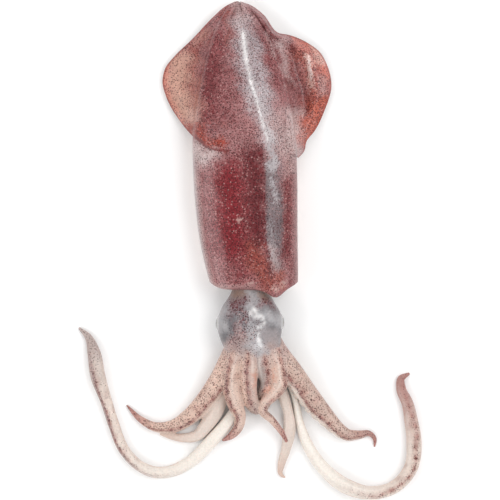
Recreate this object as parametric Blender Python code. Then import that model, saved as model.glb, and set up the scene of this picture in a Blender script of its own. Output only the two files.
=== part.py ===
"""Whole raw squid lying on its belly: mantle with two fins, head with eight arms, two eyes, two tentacles.

Blender 4.5, metres, +Z up. The mantle's tip points to +Y and the arms to -Y, so the animal's left side
is at +X. z = 0 is the surface it lies on. Sizes and routes are in millimetres; MM turns them into metres.
"""

from math import acos, atan2, copysign, cos, exp, pi, radians, sin

import bmesh
import bpy
import numpy as np
from mathutils import Vector

MM = 0.001
GAP = 0.3  # between two pieces that touch

# Mantle: a blunt cone that is open at the collar, with a raised line over the pen along its back.
MANTLE_LENGTH = 198.0
MANTLE_WIDTH = 71.4
MANTLE_HEIGHT = 36.5
MANTLE_TIP_Y = 171.8
MANTLE_GROWS = 110.0  # length over which the mantle widens from the tip
COLLAR_NARROWS = 0.15
MANTLE_ROUNDNESS = 2.3  # 2 is an ellipse, more is squarer
BELLY_SINK = 1.5  # how far the round section would reach below the surface: it lies flat there
TIP_RISE = 4.0
PEN_RIDGE = 2.2
PEN_SPREAD = 0.28
COLLAR_LOBE = 5.0  # the collar's point over the pen
COLLAR_SIDES = 4.5  # how far the collar draws back at its sides
WALL = 3.4
RECESS = 24.0
MANTLE_AXIS = ((-9, 171.8), (-5.4, 131), (-3.6, 62), (-1, 7), (2.6, -27))

# Fins: the outer edge and the line where each joins the back, from the tip towards the collar.
FINS = {
    "right": {
        "edge": (
            (-9.6, 171.6), (-17, 167.8), (-24.6, 161.2), (-40.4, 144.8), (-51.8, 133.9), (-58.3, 125.6),
            (-60.4, 115.9), (-57.8, 105.6), (-46.8, 86.9), (-39.3, 78), (-31, 71), (-22.8, 66.9),
        ),
        "root": ((-11, 163), (-14, 140), (-19, 110), (-21, 85), (-20, 70)),
        "flap": 0.0,
    },
    "left": {
        "edge": (
            (-7.6, 171.6), (1, 168.4), (9.4, 162), (19.2, 149.8), (27.2, 148.2), (39.4, 143),
            (48.6, 135.9), (53.9, 125.7), (56.2, 114), (51.2, 95.6), (44.6, 82.1), (38.9, 74.7),
            (37.4, 68.2), (32.6, 62.6),
        ),
        "root": ((-5, 163), (4, 146), (13, 120), (18, 95), (21, 68)),
        "flap": 6.0,
    },
}
FIN_ROOT_THICK = 3.4
FIN_EDGE_THICK = 1.4
FIN_EDGE_Z = 2.4
FIN_BEDDING = 4.5  # how much deeper a fin's underside sinks where it lies on the mantle
FIN_DRAPE = 11.0  # distance over which a fin falls from the mantle's shoulder to the surface
FIN_FLAP_AT = 0.78  # where the left fin bulges, as a share of its breadth
FIN_FLAP_SPREAD = 0.15

# Head: x, y, half width, bottom and top, from inside the collar to the crown of arms.
HEAD = (
    (1.2, 8, 7, 9, 21), (1, 0, 10, 6.5, 24), (0.4, -12, 12, 5, 25.5), (-0.2, -27, 13.9, 4, 26.5),
    (-0.2, -37, 17.9, 3.2, 28.5), (0, -47, 21, 2.6, 30), (-0.2, -57, 21.4, 2, 29),
    (1, -65, 20.2, 1.2, 27.4), (3, -74, 18.5, 1, 24.5), (4, -82, 12, 2.4, 20),
)
HEAD_ROUNDNESS = 2.2
EYE_RADIUS = 8.8
EYES = {"right": (-14.8, -50.2, 15.6), "left": (14.8, -49.6, 15.6)}

# Funnel under the neck: y, height of the underside, half width and height.
FUNNEL = ((-8, 5.5, 6, 6), (-20, 4.6, 9.5, 8), (-28, 4.2, 9, 8), (-35, 2.4, 7.6, 7.4), (-45, 0.6, 5.2, 6.4))
FUNNEL_WALL = 1.4
FUNNEL_BORE = 12.0

# Limbs: x, y, height of the underside and half width, from the crown to the tip. Pair 1 is on the back.
ARMS = {
    "right_1": (
        (-1.2, -68, 14, 5.4), (-0.9, -84, 11, 6.2), (-0.7, -96, 8.6, 5.6), (1.2, -105.2, 5, 5.2),
        (5, -109.8, 2.6, 3.9), (9.5, -109, 1.2, 1.6),
    ),
    "left_1": (
        (8.6, -68, 13, 4.8), (9.9, -82, 10, 5.8), (11, -92, 7, 4.2), (8.8, -99, 4, 4),
        (5.5, -104, 2, 1.8),
    ),
    "right_2": (
        (-7.5, -68, 12, 5.6), (-12.8, -85, 10, 5.8), (-12.6, -96.6, 8.2, 6.1), (-10.3, -105.6, 8, 5.4),
        (-7, -114.5, 7.4, 4.2), (-8, -121.8, 4.4, 3.5), (-13, -128, 3.4, 2.6), (-19, -131.4, 4, 0.9),
    ),
    "left_2": (
        (16, -68, 12, 5.8), (20.2, -83, 9.4, 6.1), (20.4, -91.8, 8, 5.8), (16.4, -98.5, 7.6, 4.8),
        (10.9, -104.4, 7.2, 4), (9, -111, 5.4, 3.2), (14.6, -116.6, 4, 2.6), (20.2, -123.4, 5, 2.1),
        (25.2, -132.2, 7.6, 0.8),
    ),
    "right_3": (
        (-12, -67, 7, 5.4), (-23, -92.2, 3, 6.9), (-32.9, -106, 1, 6.5), (-42.6, -115.6, 0.3, 5.7),
        (-53.8, -121.8, 0.3, 4.5), (-65.2, -122.1, 0.3, 3.4), (-75.4, -117, 0.3, 2.3),
        (-85.2, -107.2, 0.4, 0.7),
    ),
    "left_3": (
        (19.2, -68, 7.4, 5.9), (29.7, -84.4, 5.6, 7.2), (38.3, -97.1, 2.4, 7.2), (45.9, -107.4, 0.6, 7),
        (53.2, -115.7, 0.3, 6), (60.3, -122.9, 0.3, 4.9), (67.6, -127.6, 0.3, 4.1), (75.2, -127.5, 0.3, 3.1),
        (82.6, -126.8, 0.3, 2), (86, -130, 0.4, 1.5), (86, -136.1, 0.4, 0.7),
    ),
    "right_4": (
        (-7, -70, 2.2, 5.2), (-14.6, -90, 0.5, 4.9), (-19.9, -101.4, 0.3, 4.8), (-23.2, -110.5, 0.3, 5.1),
        (-30.3, -121, 0.3, 4.8), (-36.6, -128, 0.3, 3.9), (-45.5, -129.6, 0.3, 3.2),
        (-53.5, -128.9, 0.3, 2.3), (-62.1, -127, 0.3, 0.9),
    ),
    "left_4": (
        (10, -70, 2.2, 5.2), (17.5, -88, 0.5, 4.5), (23.2, -101.4, 0.3, 4.2), (26.2, -111.1, 0.3, 3.6),
        (27.2, -122.8, 0.3, 4.4), (24.6, -138, 0.3, 3.4), (21.4, -149, 0.3, 2.5), (21, -154.4, 0.3, 1.6),
        (24.2, -157.4, 0.4, 0.7),
    ),
}
TENTACLES = {
    "right": (
        (0, -71, 3.6, 3.2), (-5.5, -88.3, 0.4, 3.5), (-9.3, -100.7, 0.2, 3.6), (-10.7, -111.1, 0.2, 4),
        (-15.9, -119.4, 0.2, 4.4), (-24.5, -129.4, 0.2, 4.6), (-43.8, -147.7, 0.2, 4.3),
        (-54.2, -152.5, 0.2, 4.1), (-66.1, -153.2, 0.2, 4), (-76.4, -148.8, 0.2, 3.8),
        (-86, -139.2, 0.2, 3.8), (-94, -120.4, 0.2, 3.9), (-99.4, -103.5, 0.2, 4.1),
        (-104.9, -86.9, 0.2, 5.2), (-107.8, -70.4, 0.2, 4.5), (-111.4, -60.5, 0.2, 2.6),
        (-118, -53.9, 0.3, 0.8),
    ),
    "left": (
        (15.5, -69, 3.6, 2.5), (22.3, -82, 0.9, 2.5), (27.2, -92, 0.3, 2.4), (31, -102.1, 0.2, 2.4),
        (34.5, -120.1, 0.2, 2.9), (38.7, -132.2, 0.2, 3.7), (51.1, -151, 0.2, 4.6), (67.4, -163.4, 0.2, 5.3),
        (82.1, -167.4, 0.2, 4.7), (98.8, -163.8, 0.2, 4.5), (110.4, -151.4, 0.2, 4.8),
        (113, -131.1, 0.2, 5.3), (111.3, -118.7, 0.2, 4.8), (108.6, -105.8, 0.2, 4.1),
        (104.2, -95.2, 0.2, 3.4), (104.3, -89, 0.2, 2.6), (109.9, -85.4, 0.3, 0.9),
    ),
}
LIMB_DEPTH = 0.85  # height of a limb's section over its width
ARM_SPACING = 5.0  # between the rings of an arm
TENTACLE_SPACING = 5.8

COLOURS = {
    "mantle": ((0.36, 0.13, 0.13), 0.28),
    "head": ((0.52, 0.42, 0.40), 0.30),
    "tentacle": ((0.78, 0.70, 0.63), 0.30),
    "eye": ((0.30, 0.31, 0.33), 0.15),
}


class Curve:
    """A smooth curve through rows of numbers, spaced by the distance between their first two columns."""

    def __init__(self, rows):
        self.rows = np.array(rows, dtype=float)
        steps = np.linalg.norm(np.diff(self.rows[:, :2], axis=0), axis=1)
        self.at = np.concatenate(([0.0], np.cumsum(steps)))
        self.slopes = np.gradient(self.rows, self.at, axis=0)
        self.length = self.at[-1]

    def __call__(self, share):
        where = min(max(share, 0.0), 1.0) * self.length
        i = min(int(np.searchsorted(self.at, where, side="right")) - 1, len(self.at) - 2)
        span = self.at[i + 1] - self.at[i]
        u = (where - self.at[i]) / span
        start = (1 + 2 * u) * (1 - u) ** 2 * self.rows[i] + u * (1 - u) ** 2 * span * self.slopes[i]
        end = u * u * (3 - 2 * u) * self.rows[i + 1] - u * u * (1 - u) * span * self.slopes[i + 1]
        return start + end


def squared(value, roundness):
    """A sine or cosine pushed outwards, for a section that is squarer than an ellipse."""
    return copysign(abs(value) ** (2 / roundness), value)


def skin(around, rows, place, ends, origin):
    """A closed mesh with one ring of `around` points for each row and a point at each end.

    It starts as a sphere, whose rings take the places that place(row, angle) gives in millimetres.
    """
    form = bmesh.new()
    bmesh.ops.create_uvsphere(form, u_segments=around, v_segments=len(rows) + 1, radius=1)
    for vertex in form.verts:
        height = min(max(vertex.co.z, -1.0), 1.0)
        ring = round(acos(height) / pi * (len(rows) + 1))
        if ring == 0:
            point = ends[0]
        elif ring > len(rows):
            point = ends[1]
        else:
            point = place(rows[ring - 1], atan2(vertex.co.y, vertex.co.x))
        vertex.co = (Vector(point) - Vector(origin)) * MM
    if form.calc_volume(signed=True) < 0:
        bmesh.ops.reverse_faces(form, faces=form.faces)
    bmesh.ops.triangulate(form, faces=form.faces)  # flat faces, which a Boolean cuts exactly
    mesh = bpy.data.meshes.new("skin")
    form.to_mesh(mesh)
    form.free()
    mesh.shade_smooth()
    return mesh


def add_object(name, mesh, origin, collection):
    mesh.name = name
    thing = bpy.data.objects.new(name, mesh)
    thing.location = Vector(origin) * MM
    collection.objects.link(thing)
    return thing


def add_cutter(name, mesh, origin, cutters):
    cutter = add_object(name, mesh, origin, cutters)
    cutter.hide_render = True
    cutter.display_type = "WIRE"
    return cutter


def combine(target, operation, other):
    boolean = target.modifiers.new(other.name, "BOOLEAN")
    boolean.operation = operation
    boolean.solver = "EXACT"
    boolean.object = other


def finish(thing, colour_name, root):
    colour, roughness = COLOURS[colour_name]
    material = bpy.data.materials.new(thing.name)
    material.use_nodes = True
    shader = material.node_tree.nodes["Principled BSDF"]
    shader.inputs["Base Color"].default_value = (*colour, 1)
    shader.inputs["Roughness"].default_value = roughness
    shader.inputs["Metallic"].default_value = 0
    thing.data.materials.append(material)
    thing.parent = root


# --- Mantle ---------------------------------------------------------------------------------------

MANTLE_CENTRE = Curve(MANTLE_AXIS)


def mantle_section(station):
    """Centre x, half width, underside, middle and top of the mantle at a distance from its tip."""
    grown = 1 - (1 - min(station / MANTLE_GROWS, 1.0)) ** 2
    narrowed = 1 - COLLAR_NARROWS * (max(0.0, station - MANTLE_GROWS) / (MANTLE_LENGTH - MANTLE_GROWS)) ** 2
    half = MANTLE_WIDTH / 2 * grown**0.7 * narrowed
    rise = TIP_RISE * max(0.0, 1 - station / 40) ** 2
    top = rise + MANTLE_HEIGHT * grown**0.7 * narrowed
    centre = MANTLE_CENTRE(station / MANTLE_LENGTH)[0]
    return centre, half, rise, rise + 0.46 * (top - rise), top


def pen_angle(station):
    """Where the pen's ridge runs: upright at the tip, rolled towards the animal's left at the collar."""
    return radians(84 - 22 * station / MANTLE_LENGTH)


def mantle_point(row, angle):
    station, inset = row
    centre, half, bottom, middle, top = mantle_section(min(station, MANTLE_LENGTH))
    ridge = PEN_RIDGE * min(1.0, station / 30) * exp(-(((angle - pen_angle(station)) / PEN_SPREAD) ** 2))
    across = squared(cos(angle), MANTLE_ROUNDNESS) * (half - inset)
    upward = squared(sin(angle), MANTLE_ROUNDNESS)
    if angle > 0:
        z = middle + upward * (top - middle - inset) + ridge * (inset == 0)
    else:
        z = max(middle + upward * (middle - bottom + BELLY_SINK), bottom + inset)
    lobe = COLLAR_LOBE * exp(-(((angle - pen_angle(MANTLE_LENGTH)) / radians(15)) ** 2))
    edge = lobe - COLLAR_SIDES * abs(cos(angle)) ** 6
    y = MANTLE_TIP_Y - station - edge * (station / MANTLE_LENGTH) ** 12
    return centre + across, y, z


def mantle_top(x, y):
    """Height of the mantle's back over a point of the plan, or 0 beside it."""
    station = min(max(MANTLE_TIP_Y - y, 0.5), MANTLE_LENGTH)
    centre, half, _, middle, top = mantle_section(station)
    off = abs(x - centre) / half
    if off >= 1:
        return 0.0
    return middle + (top - middle) * (1 - off**MANTLE_ROUNDNESS) ** (1 / MANTLE_ROUNDNESS)


def mantle_mesh(origin):
    outside = [(MANTLE_LENGTH * (i / 20) ** 1.25, 0.0) for i in range(1, 21)]
    rim = [(MANTLE_LENGTH + 0.8, WALL / 2), (MANTLE_LENGTH, WALL)]
    inside = [(MANTLE_LENGTH - depth, WALL + more) for depth, more in ((8, 0), (17, 1.2), (RECESS - 1.5, 6))]
    centre, _, _, middle, _ = mantle_section(MANTLE_LENGTH)
    ends = ((-9, MANTLE_TIP_Y, TIP_RISE), (centre, MANTLE_TIP_Y - MANTLE_LENGTH + RECESS, middle))
    return skin(36, outside + rim + inside, mantle_point, ends, origin)


def fin_mesh(fin, origin):
    """A fin: thin and lens-shaped across, embedded in the back at its root and draped over the flank."""
    edge, root = Curve(fin["edge"]), Curve(fin["root"])

    def place(along, angle):
        breadth = 0.5 + 0.5 * cos(angle)
        x, y = root(along) + (edge(along) - root(along)) * breadth
        centre, half, _, _, top = mantle_section(MANTLE_TIP_Y - y)
        beyond = max(0.0, abs(x - centre) - 0.8 * half) / FIN_DRAPE
        drape = FIN_EDGE_Z + 0.58 * top * exp(-(beyond**2))
        sunk = 1.0 - 2.6 * max(0.0, 1 - breadth / 0.15)
        resting = mantle_top(x, y) + sunk
        z = (drape**8 + max(resting, 0.1) ** 8) ** (1 / 8)
        bulge = fin["flap"] * exp(-(((breadth - FIN_FLAP_AT) / FIN_FLAP_SPREAD) ** 2))
        z += bulge * sin(pi * along) ** 0.5
        thick = FIN_ROOT_THICK + (FIN_EDGE_THICK - FIN_ROOT_THICK) * breadth
        if angle < 0:
            off = abs(x - centre) / half
            thick += 2 * FIN_BEDDING * min(max((1.2 - off) / 0.2, 0.0), 1.0)
        return x, y, z + thick / 2 * sin(angle)

    shares = [0.01 + 0.98 * i / 17 for i in range(18)]
    ends = [np.mean([place(end, angle) for angle in (0, pi)], axis=0) for end in (0, 1)]
    return skin(14, shares, place, ends, origin)


# --- Head and funnel ------------------------------------------------------------------------------

HEAD_SIZES = Curve([(y, 0, x, half, bottom, top) for x, y, half, bottom, top in HEAD])


def head_mesh(grow, origin):
    def place(share, angle):
        y, _, x, half, bottom, top = HEAD_SIZES(share)
        middle = (bottom + top) / 2
        across = squared(cos(angle), HEAD_ROUNDNESS) * (half + grow)
        upward = squared(sin(angle), HEAD_ROUNDNESS) * (top - middle + grow)
        return x + across, y, middle + upward

    ends = []
    for share, beyond in ((0, 4 + grow), (1, -4 - grow)):
        y, _, x, _, bottom, top = HEAD_SIZES(share)
        ends.append((x, y + beyond, (bottom + top) / 2))
    return skin(24, [i / 15 for i in range(16)], place, ends, origin)


def funnel_mesh(origin):
    """A flattened cone with an open mouth, pointing forwards under the neck."""
    sizes = Curve([(y, 0, lift, half, high) for y, lift, half, high in FUNNEL])
    back, front = FUNNEL[0][0], FUNNEL[-1][0]
    bore_share = FUNNEL_BORE / (back - front)

    def place(row, angle):
        share, inset = row
        y, _, lift, half, high = sizes(share)
        middle = lift + high / 2
        return (half - inset) * cos(angle), y, middle + (high / 2 - inset) * sin(angle)

    rows = [(i / 6, 0.0) for i in range(7)] + [(1.0, FUNNEL_WALL), (1 - bore_share * 0.8, FUNNEL_WALL)]
    bore_end = sizes(1 - bore_share)
    ends = (
        (0, back + 3, FUNNEL[0][1] + FUNNEL[0][3] / 2),
        (0, bore_end[0], bore_end[2] + bore_end[4] / 2),
    )
    return skin(14, rows, place, ends, origin)


# --- Limbs ----------------------------------------------------------------------------------------


def limb_mesh(rows, spacing, grow, origin):
    """An oval limb along its route, lying on its underside."""
    route = Curve(rows)

    def heading(share):
        ahead = route(share + 0.01)[:2] - route(share - 0.01)[:2]
        return ahead / np.linalg.norm(ahead)

    def place(share, angle):
        x, y, lift, half = route(share)
        half = max(half, 0.4)
        forward = heading(share)
        middle = lift + half * LIMB_DEPTH
        across = (half + grow) * cos(angle)
        upward = (half * LIMB_DEPTH + grow) * sin(angle)
        return x + forward[1] * across, y - forward[0] * across, middle + upward

    ends = []
    for share, direction in ((0, -1), (1, 1)):
        x, y, lift, half = route(share)
        forward = heading(share) * direction * (half * 0.6 + grow)
        ends.append((x + forward[0], y + forward[1], lift + half * LIMB_DEPTH))
    rings = round(route.length / spacing)
    return skin(10, [i / rings for i in range(rings + 1)], place, ends, origin)


def limb_root(rows):
    x, y, lift, half = rows[0]
    return x, y, lift + half * LIMB_DEPTH


def clear_scene():
    for thing in list(bpy.data.objects):
        bpy.data.objects.remove(thing, do_unlink=True)


def build():
    clear_scene()
    squid = bpy.data.collections.new("squid")
    cutters = bpy.data.collections.new("cutters")
    for collection in (squid, cutters):
        bpy.context.scene.collection.children.link(collection)
    root = bpy.data.objects.new("squid_root", None)
    squid.objects.link(root)

    collar = (2.6, MANTLE_TIP_Y - MANTLE_LENGTH, 0)
    mantle = add_object("mantle", mantle_mesh(collar), collar, squid)
    for side, fin in FINS.items():
        form = add_cutter(f"fin_{side}_form", fin_mesh(fin, collar), collar, cutters)
        combine(mantle, "UNION", form)
    neck = add_cutter("neck_space", head_mesh(GAP, collar), collar, cutters)
    combine(mantle, "DIFFERENCE", neck)
    finish(mantle, "mantle", root)

    crown = (0, -66, 14)
    head = add_object("head", head_mesh(0, crown), crown, squid)
    funnel = add_cutter("funnel_form", funnel_mesh(crown), crown, cutters)
    combine(head, "UNION", funnel)
    for name, rows in ARMS.items():
        arm = add_cutter(f"arm_{name}_form", limb_mesh(rows, ARM_SPACING, 0, crown), crown, cutters)
        combine(head, "UNION", arm)

    for side, rows in TENTACLES.items():
        start = limb_root(rows)
        tentacle = add_object(f"tentacle_{side}", limb_mesh(rows, TENTACLE_SPACING, 0, start), start, squid)
        finish(tentacle, "tentacle", root)
        pocket = limb_mesh(rows, TENTACLE_SPACING, GAP, start)
        combine(head, "DIFFERENCE", add_cutter(f"tentacle_{side}_space", pocket, start, cutters))

    for side, place in EYES.items():
        for name, radius in ((f"eye_{side}", EYE_RADIUS), (f"eye_{side}_space", EYE_RADIUS + GAP)):
            form = bmesh.new()
            bmesh.ops.create_uvsphere(form, u_segments=18, v_segments=10, radius=radius * MM)
            mesh = bpy.data.meshes.new(name)
            form.to_mesh(mesh)
            form.free()
            mesh.shade_smooth()
            if name.endswith("space"):
                combine(head, "DIFFERENCE", add_cutter(name, mesh, place, cutters))
            else:
                finish(add_object(name, mesh, place, squid), "eye", root)
    finish(head, "head", root)


build()
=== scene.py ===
# Whole raw squid on a pale table: wet skins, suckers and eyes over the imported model.
# Lengths are in millimetres until a mesh is made, and +Y points to the mantle's tip.
import math
import random

import bmesh
import bpy
import numpy as np
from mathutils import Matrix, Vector, kdtree


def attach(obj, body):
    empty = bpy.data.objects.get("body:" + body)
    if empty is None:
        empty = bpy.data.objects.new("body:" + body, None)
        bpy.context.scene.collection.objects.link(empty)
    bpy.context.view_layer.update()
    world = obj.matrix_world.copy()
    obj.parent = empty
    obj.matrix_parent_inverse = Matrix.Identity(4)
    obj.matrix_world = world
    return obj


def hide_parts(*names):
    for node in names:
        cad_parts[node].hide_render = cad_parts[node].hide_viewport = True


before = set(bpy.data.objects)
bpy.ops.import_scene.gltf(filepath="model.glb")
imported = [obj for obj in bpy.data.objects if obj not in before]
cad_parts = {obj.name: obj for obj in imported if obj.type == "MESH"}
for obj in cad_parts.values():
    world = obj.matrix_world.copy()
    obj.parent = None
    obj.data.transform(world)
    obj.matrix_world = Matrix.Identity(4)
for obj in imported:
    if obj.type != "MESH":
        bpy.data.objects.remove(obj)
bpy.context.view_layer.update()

mm = 0.001
random.seed(7)


# ---- curves and meshes

class Route:
    def __init__(self, rows):  # a smooth curve through rows, spaced by their first two columns
        self.rows = np.array(rows, dtype=float)
        steps = np.linalg.norm(np.diff(self.rows[:, :2], axis=0), axis=1)
        self.marks = np.concatenate(([0.0], np.cumsum(steps)))
        self.slopes = np.gradient(self.rows, self.marks, axis=0)
        self.length = self.marks[-1]

    def at(self, shares):
        where = np.clip(np.asarray(shares, dtype=float), 0, 1) * self.length
        i = np.clip(np.searchsorted(self.marks, where, side="right") - 1, 0, len(self.marks) - 2)
        span = self.marks[i + 1] - self.marks[i]
        u = ((where - self.marks[i]) / span)[..., None]
        span = span[..., None]
        start = (1 + 2 * u) * (1 - u) ** 2 * self.rows[i] + u * (1 - u) ** 2 * span * self.slopes[i]
        return start + u * u * (3 - 2 * u) * self.rows[i + 1] - u * u * (1 - u) * span * self.slopes[i + 1]

    def heading(self, shares):
        ahead = self.at(np.asarray(shares) + 0.01)[..., :2] - self.at(np.asarray(shares) - 0.01)[..., :2]
        return ahead / np.linalg.norm(ahead, axis=-1, keepdims=True)


def squared(value, roundness):
    return np.sign(value) * np.abs(value) ** (2 / roundness)


def smooth(value, low, high):
    share = np.clip((value - low) / (high - low), 0, 1)
    return share * share * (3 - 2 * share)


def ringGrid(rings, around):
    return np.meshgrid(rings, np.linspace(-math.pi, math.pi, around, endpoint=False), indexing="ij")


def linear(red, green, blue):
    return np.array([((c / 255 + 0.055) / 1.055) ** 2.4 if c > 10 else c / 3294.6 for c in (red, green, blue)])


def addLayer(mesh, layer, values):
    kind, field = ("FLOAT_VECTOR", "vector") if values.ndim == 2 else ("FLOAT", "value")
    mesh.attributes.new(layer, kind, "POINT").data.foreach_set(field, values.astype(np.float32).ravel())


def readLayer(mesh, layer):
    attribute = mesh.attributes[layer]
    wide = 3 if attribute.data_type == "FLOAT_VECTOR" else 1
    values = np.empty(len(mesh.vertices) * wide, dtype=np.float32)
    attribute.data.foreach_get("vector" if wide == 3 else "value", values)
    return values.reshape(-1, 3) if wide == 3 else values


def newPiece(name, points, faces):
    mesh = bpy.data.meshes.new(name)
    mesh.from_pydata((np.asarray(points) * mm).tolist(), [], faces)
    piece = bpy.data.objects.new(name, mesh)
    bpy.context.scene.collection.objects.link(piece)
    return piece


def closedPiece(name, grid, ends, layers):  # grid is rings x around x 3, and ends are the two closing points
    rings, around = grid.shape[:2]
    faces = []
    for ring in range(rings - 1):
        for step in range(around):
            this, following = ring * around + step, ring * around + (step + 1) % around
            faces.append((this, following, following + around, this + around))
    first, last = rings * around, rings * around + 1
    for step in range(around):
        following = (step + 1) % around
        faces.append((first, following, step))
        faces.append((last, first - around + step, first - around + following))
    piece = newPiece(name, np.concatenate((grid.reshape(-1, 3), np.array(ends))), faces)
    for layer, values in layers.items():
        wide = values.reshape(rings * around, -1)
        flat = np.concatenate((wide, [values[0].mean(axis=0).reshape(-1)], [values[-1].mean(axis=0).reshape(-1)]))
        addLayer(piece.data, layer, flat if flat.shape[1] == 3 else flat[:, 0])
    form = bmesh.new()
    form.from_mesh(piece.data)
    if form.calc_volume(signed=True) < 0:
        bmesh.ops.reverse_faces(form, faces=form.faces)
        form.to_mesh(piece.data)
    form.free()
    piece.data.shade_smooth()
    return piece


# ---- the skin's colours, with painted highlights, painted sheen and painted shade among them, laid on as soft strokes seen from above

# Some of these colours paint light rather than skin: the near-white is painted highlight, the two pale greys are
# painted sheen, and the dark fold red also paints shade in creases and hollows
skinColours = {
    "rose": (150, 106, 106), "dusk": (124, 64, 66), "wine": (121, 33, 40), "maroon": (92, 34, 38),
    "deepRed": (104, 38, 40), "band": (98, 88, 91), "paintedSheen": (172, 164, 166), "paintedHighlight": (246, 243, 242),
    "shell": (184, 166, 164), "rim": (170, 147, 144), "beige": (192, 150, 134), "rust": (148, 56, 36),
    "ember": (206, 114, 92), "brick": (128, 56, 50), "clay": (142, 68, 54), "cream": (218, 200, 190),
    "belly": (214, 190, 182), "ink": (52, 26, 28), "darkRedAndCreaseShade": (110, 50, 50), "inside": (226, 208, 196),
    "silver": (142, 137, 139), "slate": (94, 92, 95), "smoke": (116, 110, 113), "pearl": (178, 175, 177),
    "blushed": (174, 152, 147), "brown": (142, 110, 94), "cluster": (104, 60, 64),
    "ivory": (230, 222, 213), "face": (204, 178, 165), "arm": (200, 172, 158), "keel": (150, 104, 94),
    "tip": (150, 98, 92), "greyTip": (166, 152, 147), "speckled": (196, 172, 162), "peach": (204, 132, 104),
    "edge": (240, 232, 224), "copper": (180, 90, 68), "tan": (186, 160, 148), "paintedSheenGrey": (160, 154, 157), "pale": (212, 197, 187),
}
tints = {name: linear(*colour) for name, colour in skinColours.items()}


stipple = {"spread": 1.1, "drift": 1.5}  # how far a stroke's edge is scattered, and how much it wanders
scatter = np.random.default_rng(11)


def strokeWeight(x, y, points, width, soft):
    nearest = np.full(np.shape(x), 1e9)
    for (ax, ay), (bx, by) in zip(points, points[1:]):
        runX, runY = bx - ax, by - ay
        share = np.clip(((x - ax) * runX + (y - ay) * runY) / (runX**2 + runY**2), 0, 1)
        nearest = np.minimum(nearest, np.hypot(x - ax - share * runX, y - ay - share * runY))
    return 1 - smooth(nearest, width * (1 - soft), width * (1 + soft))


def paint(layers, x, y, strokes, shown=1.0):  # a stroke: tint, its strength, dots, spots, width, softness, points
    nearX = x + scatter.normal(0, stipple["spread"], x.shape)
    nearY = y + scatter.normal(0, stipple["spread"], x.shape)
    farX = nearX + stipple["drift"] * np.sin(y * 0.43 + x * 0.21)
    farY = nearY + stipple["drift"] * np.sin(x * 0.39 - y * 0.17)
    for tint, strength, dots, spots, width, soft, points in strokes:
        # painted highlight lines and hard-edged strokes are scattered less, so they stay crisp
        wander = 0.35 if tint == "paintedHighlight" or soft < 0.3 else 1.0
        placed = (farX, farY) if width > 2.5 and soft > 0.5 else (x + (nearX - x) * wander, y + (nearY - y) * wander)
        weight = strokeWeight(*placed, points, width, soft) * shown
        layers["tint"] = layers["tint"] + (tints[tint] - layers["tint"]) * (weight * strength)[..., None]
        for layer, value in (("dots", dots), ("spots", spots)):
            if value is not None:
                layers[layer] = layers[layer] + (value - layers[layer]) * weight
    return layers


def blend(layers, weight, tint, dots, spots=0.0):  # moves all layers towards one look
    layers["tint"] = layers["tint"] + (tints[tint] - layers["tint"]) * weight[..., None]
    layers["dots"] = layers["dots"] + (dots - layers["dots"]) * weight
    layers["spots"] = layers["spots"] + (spots - layers["spots"]) * weight
    return layers


def plainLayers(shape, tint, dots, spots=0.0):
    return {"tint": np.broadcast_to(tints[tint], (*shape, 3)).copy(), "dots": np.full(shape, dots),
            "spots": np.full(shape, spots)}


# ---- mantle and fins

mantle = {
    "length": 198.0, "width": 71.4, "height": 36.5, "tipY": 171.8, "grows": 110.0, "narrows": 0.15,
    "roundness": 2.3, "bellySink": 1.5, "tipRise": 4.0, "penRidge": 2.2, "penSpread": 0.28,
    "crest": 0.5, "crestSpread": 0.055, "lobe": 5.0, "sides": 4.5, "wall": 3.4, "recess": 24.0,
    "axis": ((-9, 171.8), (-5.4, 131), (-3.6, 62), (-1, 7), (2.6, -27)), "ripple": 0.22,
}
fins = {
    "right": {
        "edge": ((-9.6, 171.6), (-17, 167.8), (-24.6, 161.2), (-40.4, 144.8), (-51.8, 133.9), (-58.3, 125.6),
                 (-60.4, 115.9), (-57.8, 105.6), (-46.8, 86.9), (-39.3, 78), (-31, 71), (-22.8, 66.9)),
        "root": ((-11, 163), (-14, 140), (-19, 110), (-21, 85), (-20, 70)),
        "flap": 0.0, "frontSinks": 0.0, "pleats": 0.12,
    },
    "left": {
        "edge": ((-7.6, 171.6), (1, 168.4), (9.4, 162), (19.2, 149.8), (27.2, 148.2), (39.4, 143),
                 (48.6, 135.9), (53.9, 125.7), (56.2, 114), (51.2, 95.6), (44.6, 82.1), (38.9, 74.7),
                 (37.4, 68.2), (32.6, 62.6)),
        "root": ((-5, 163), (4, 146), (13, 120), (18, 95), (21, 68)),
        "flap": 6.0, "frontSinks": 2.6, "pleats": 0.12,
    },
}
finForm = {"rootThick": 3.0, "edgeThick": 1.3, "edgeZ": 2.4, "bedding": 4.5, "drape": 11.0,
           "flapAt": 0.76, "flapSpread": 0.15, "rootSinks": 3.4, "rises": 0.5,
           "fillet": 9.0}
creases = (  # lines pressed into the back: depth, width, points
    (0.9, 1.1, ((8.6, 153), (12.5, 141), (15.5, 131))), (0.8, 1.0, ((12.5, 152), (17, 139), (20, 128))),
    (0.5, 1.2, ((17, 147), (23, 128))), (0.9, 2.0, ((28.3, 141), (31, 124), (36, 110), (38.6, 97))),
    (0.5, 0.9, ((-30, 86), (-16, 84))), (0.35, 0.8, ((20.5, 30), (27, 33))),
)
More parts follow.
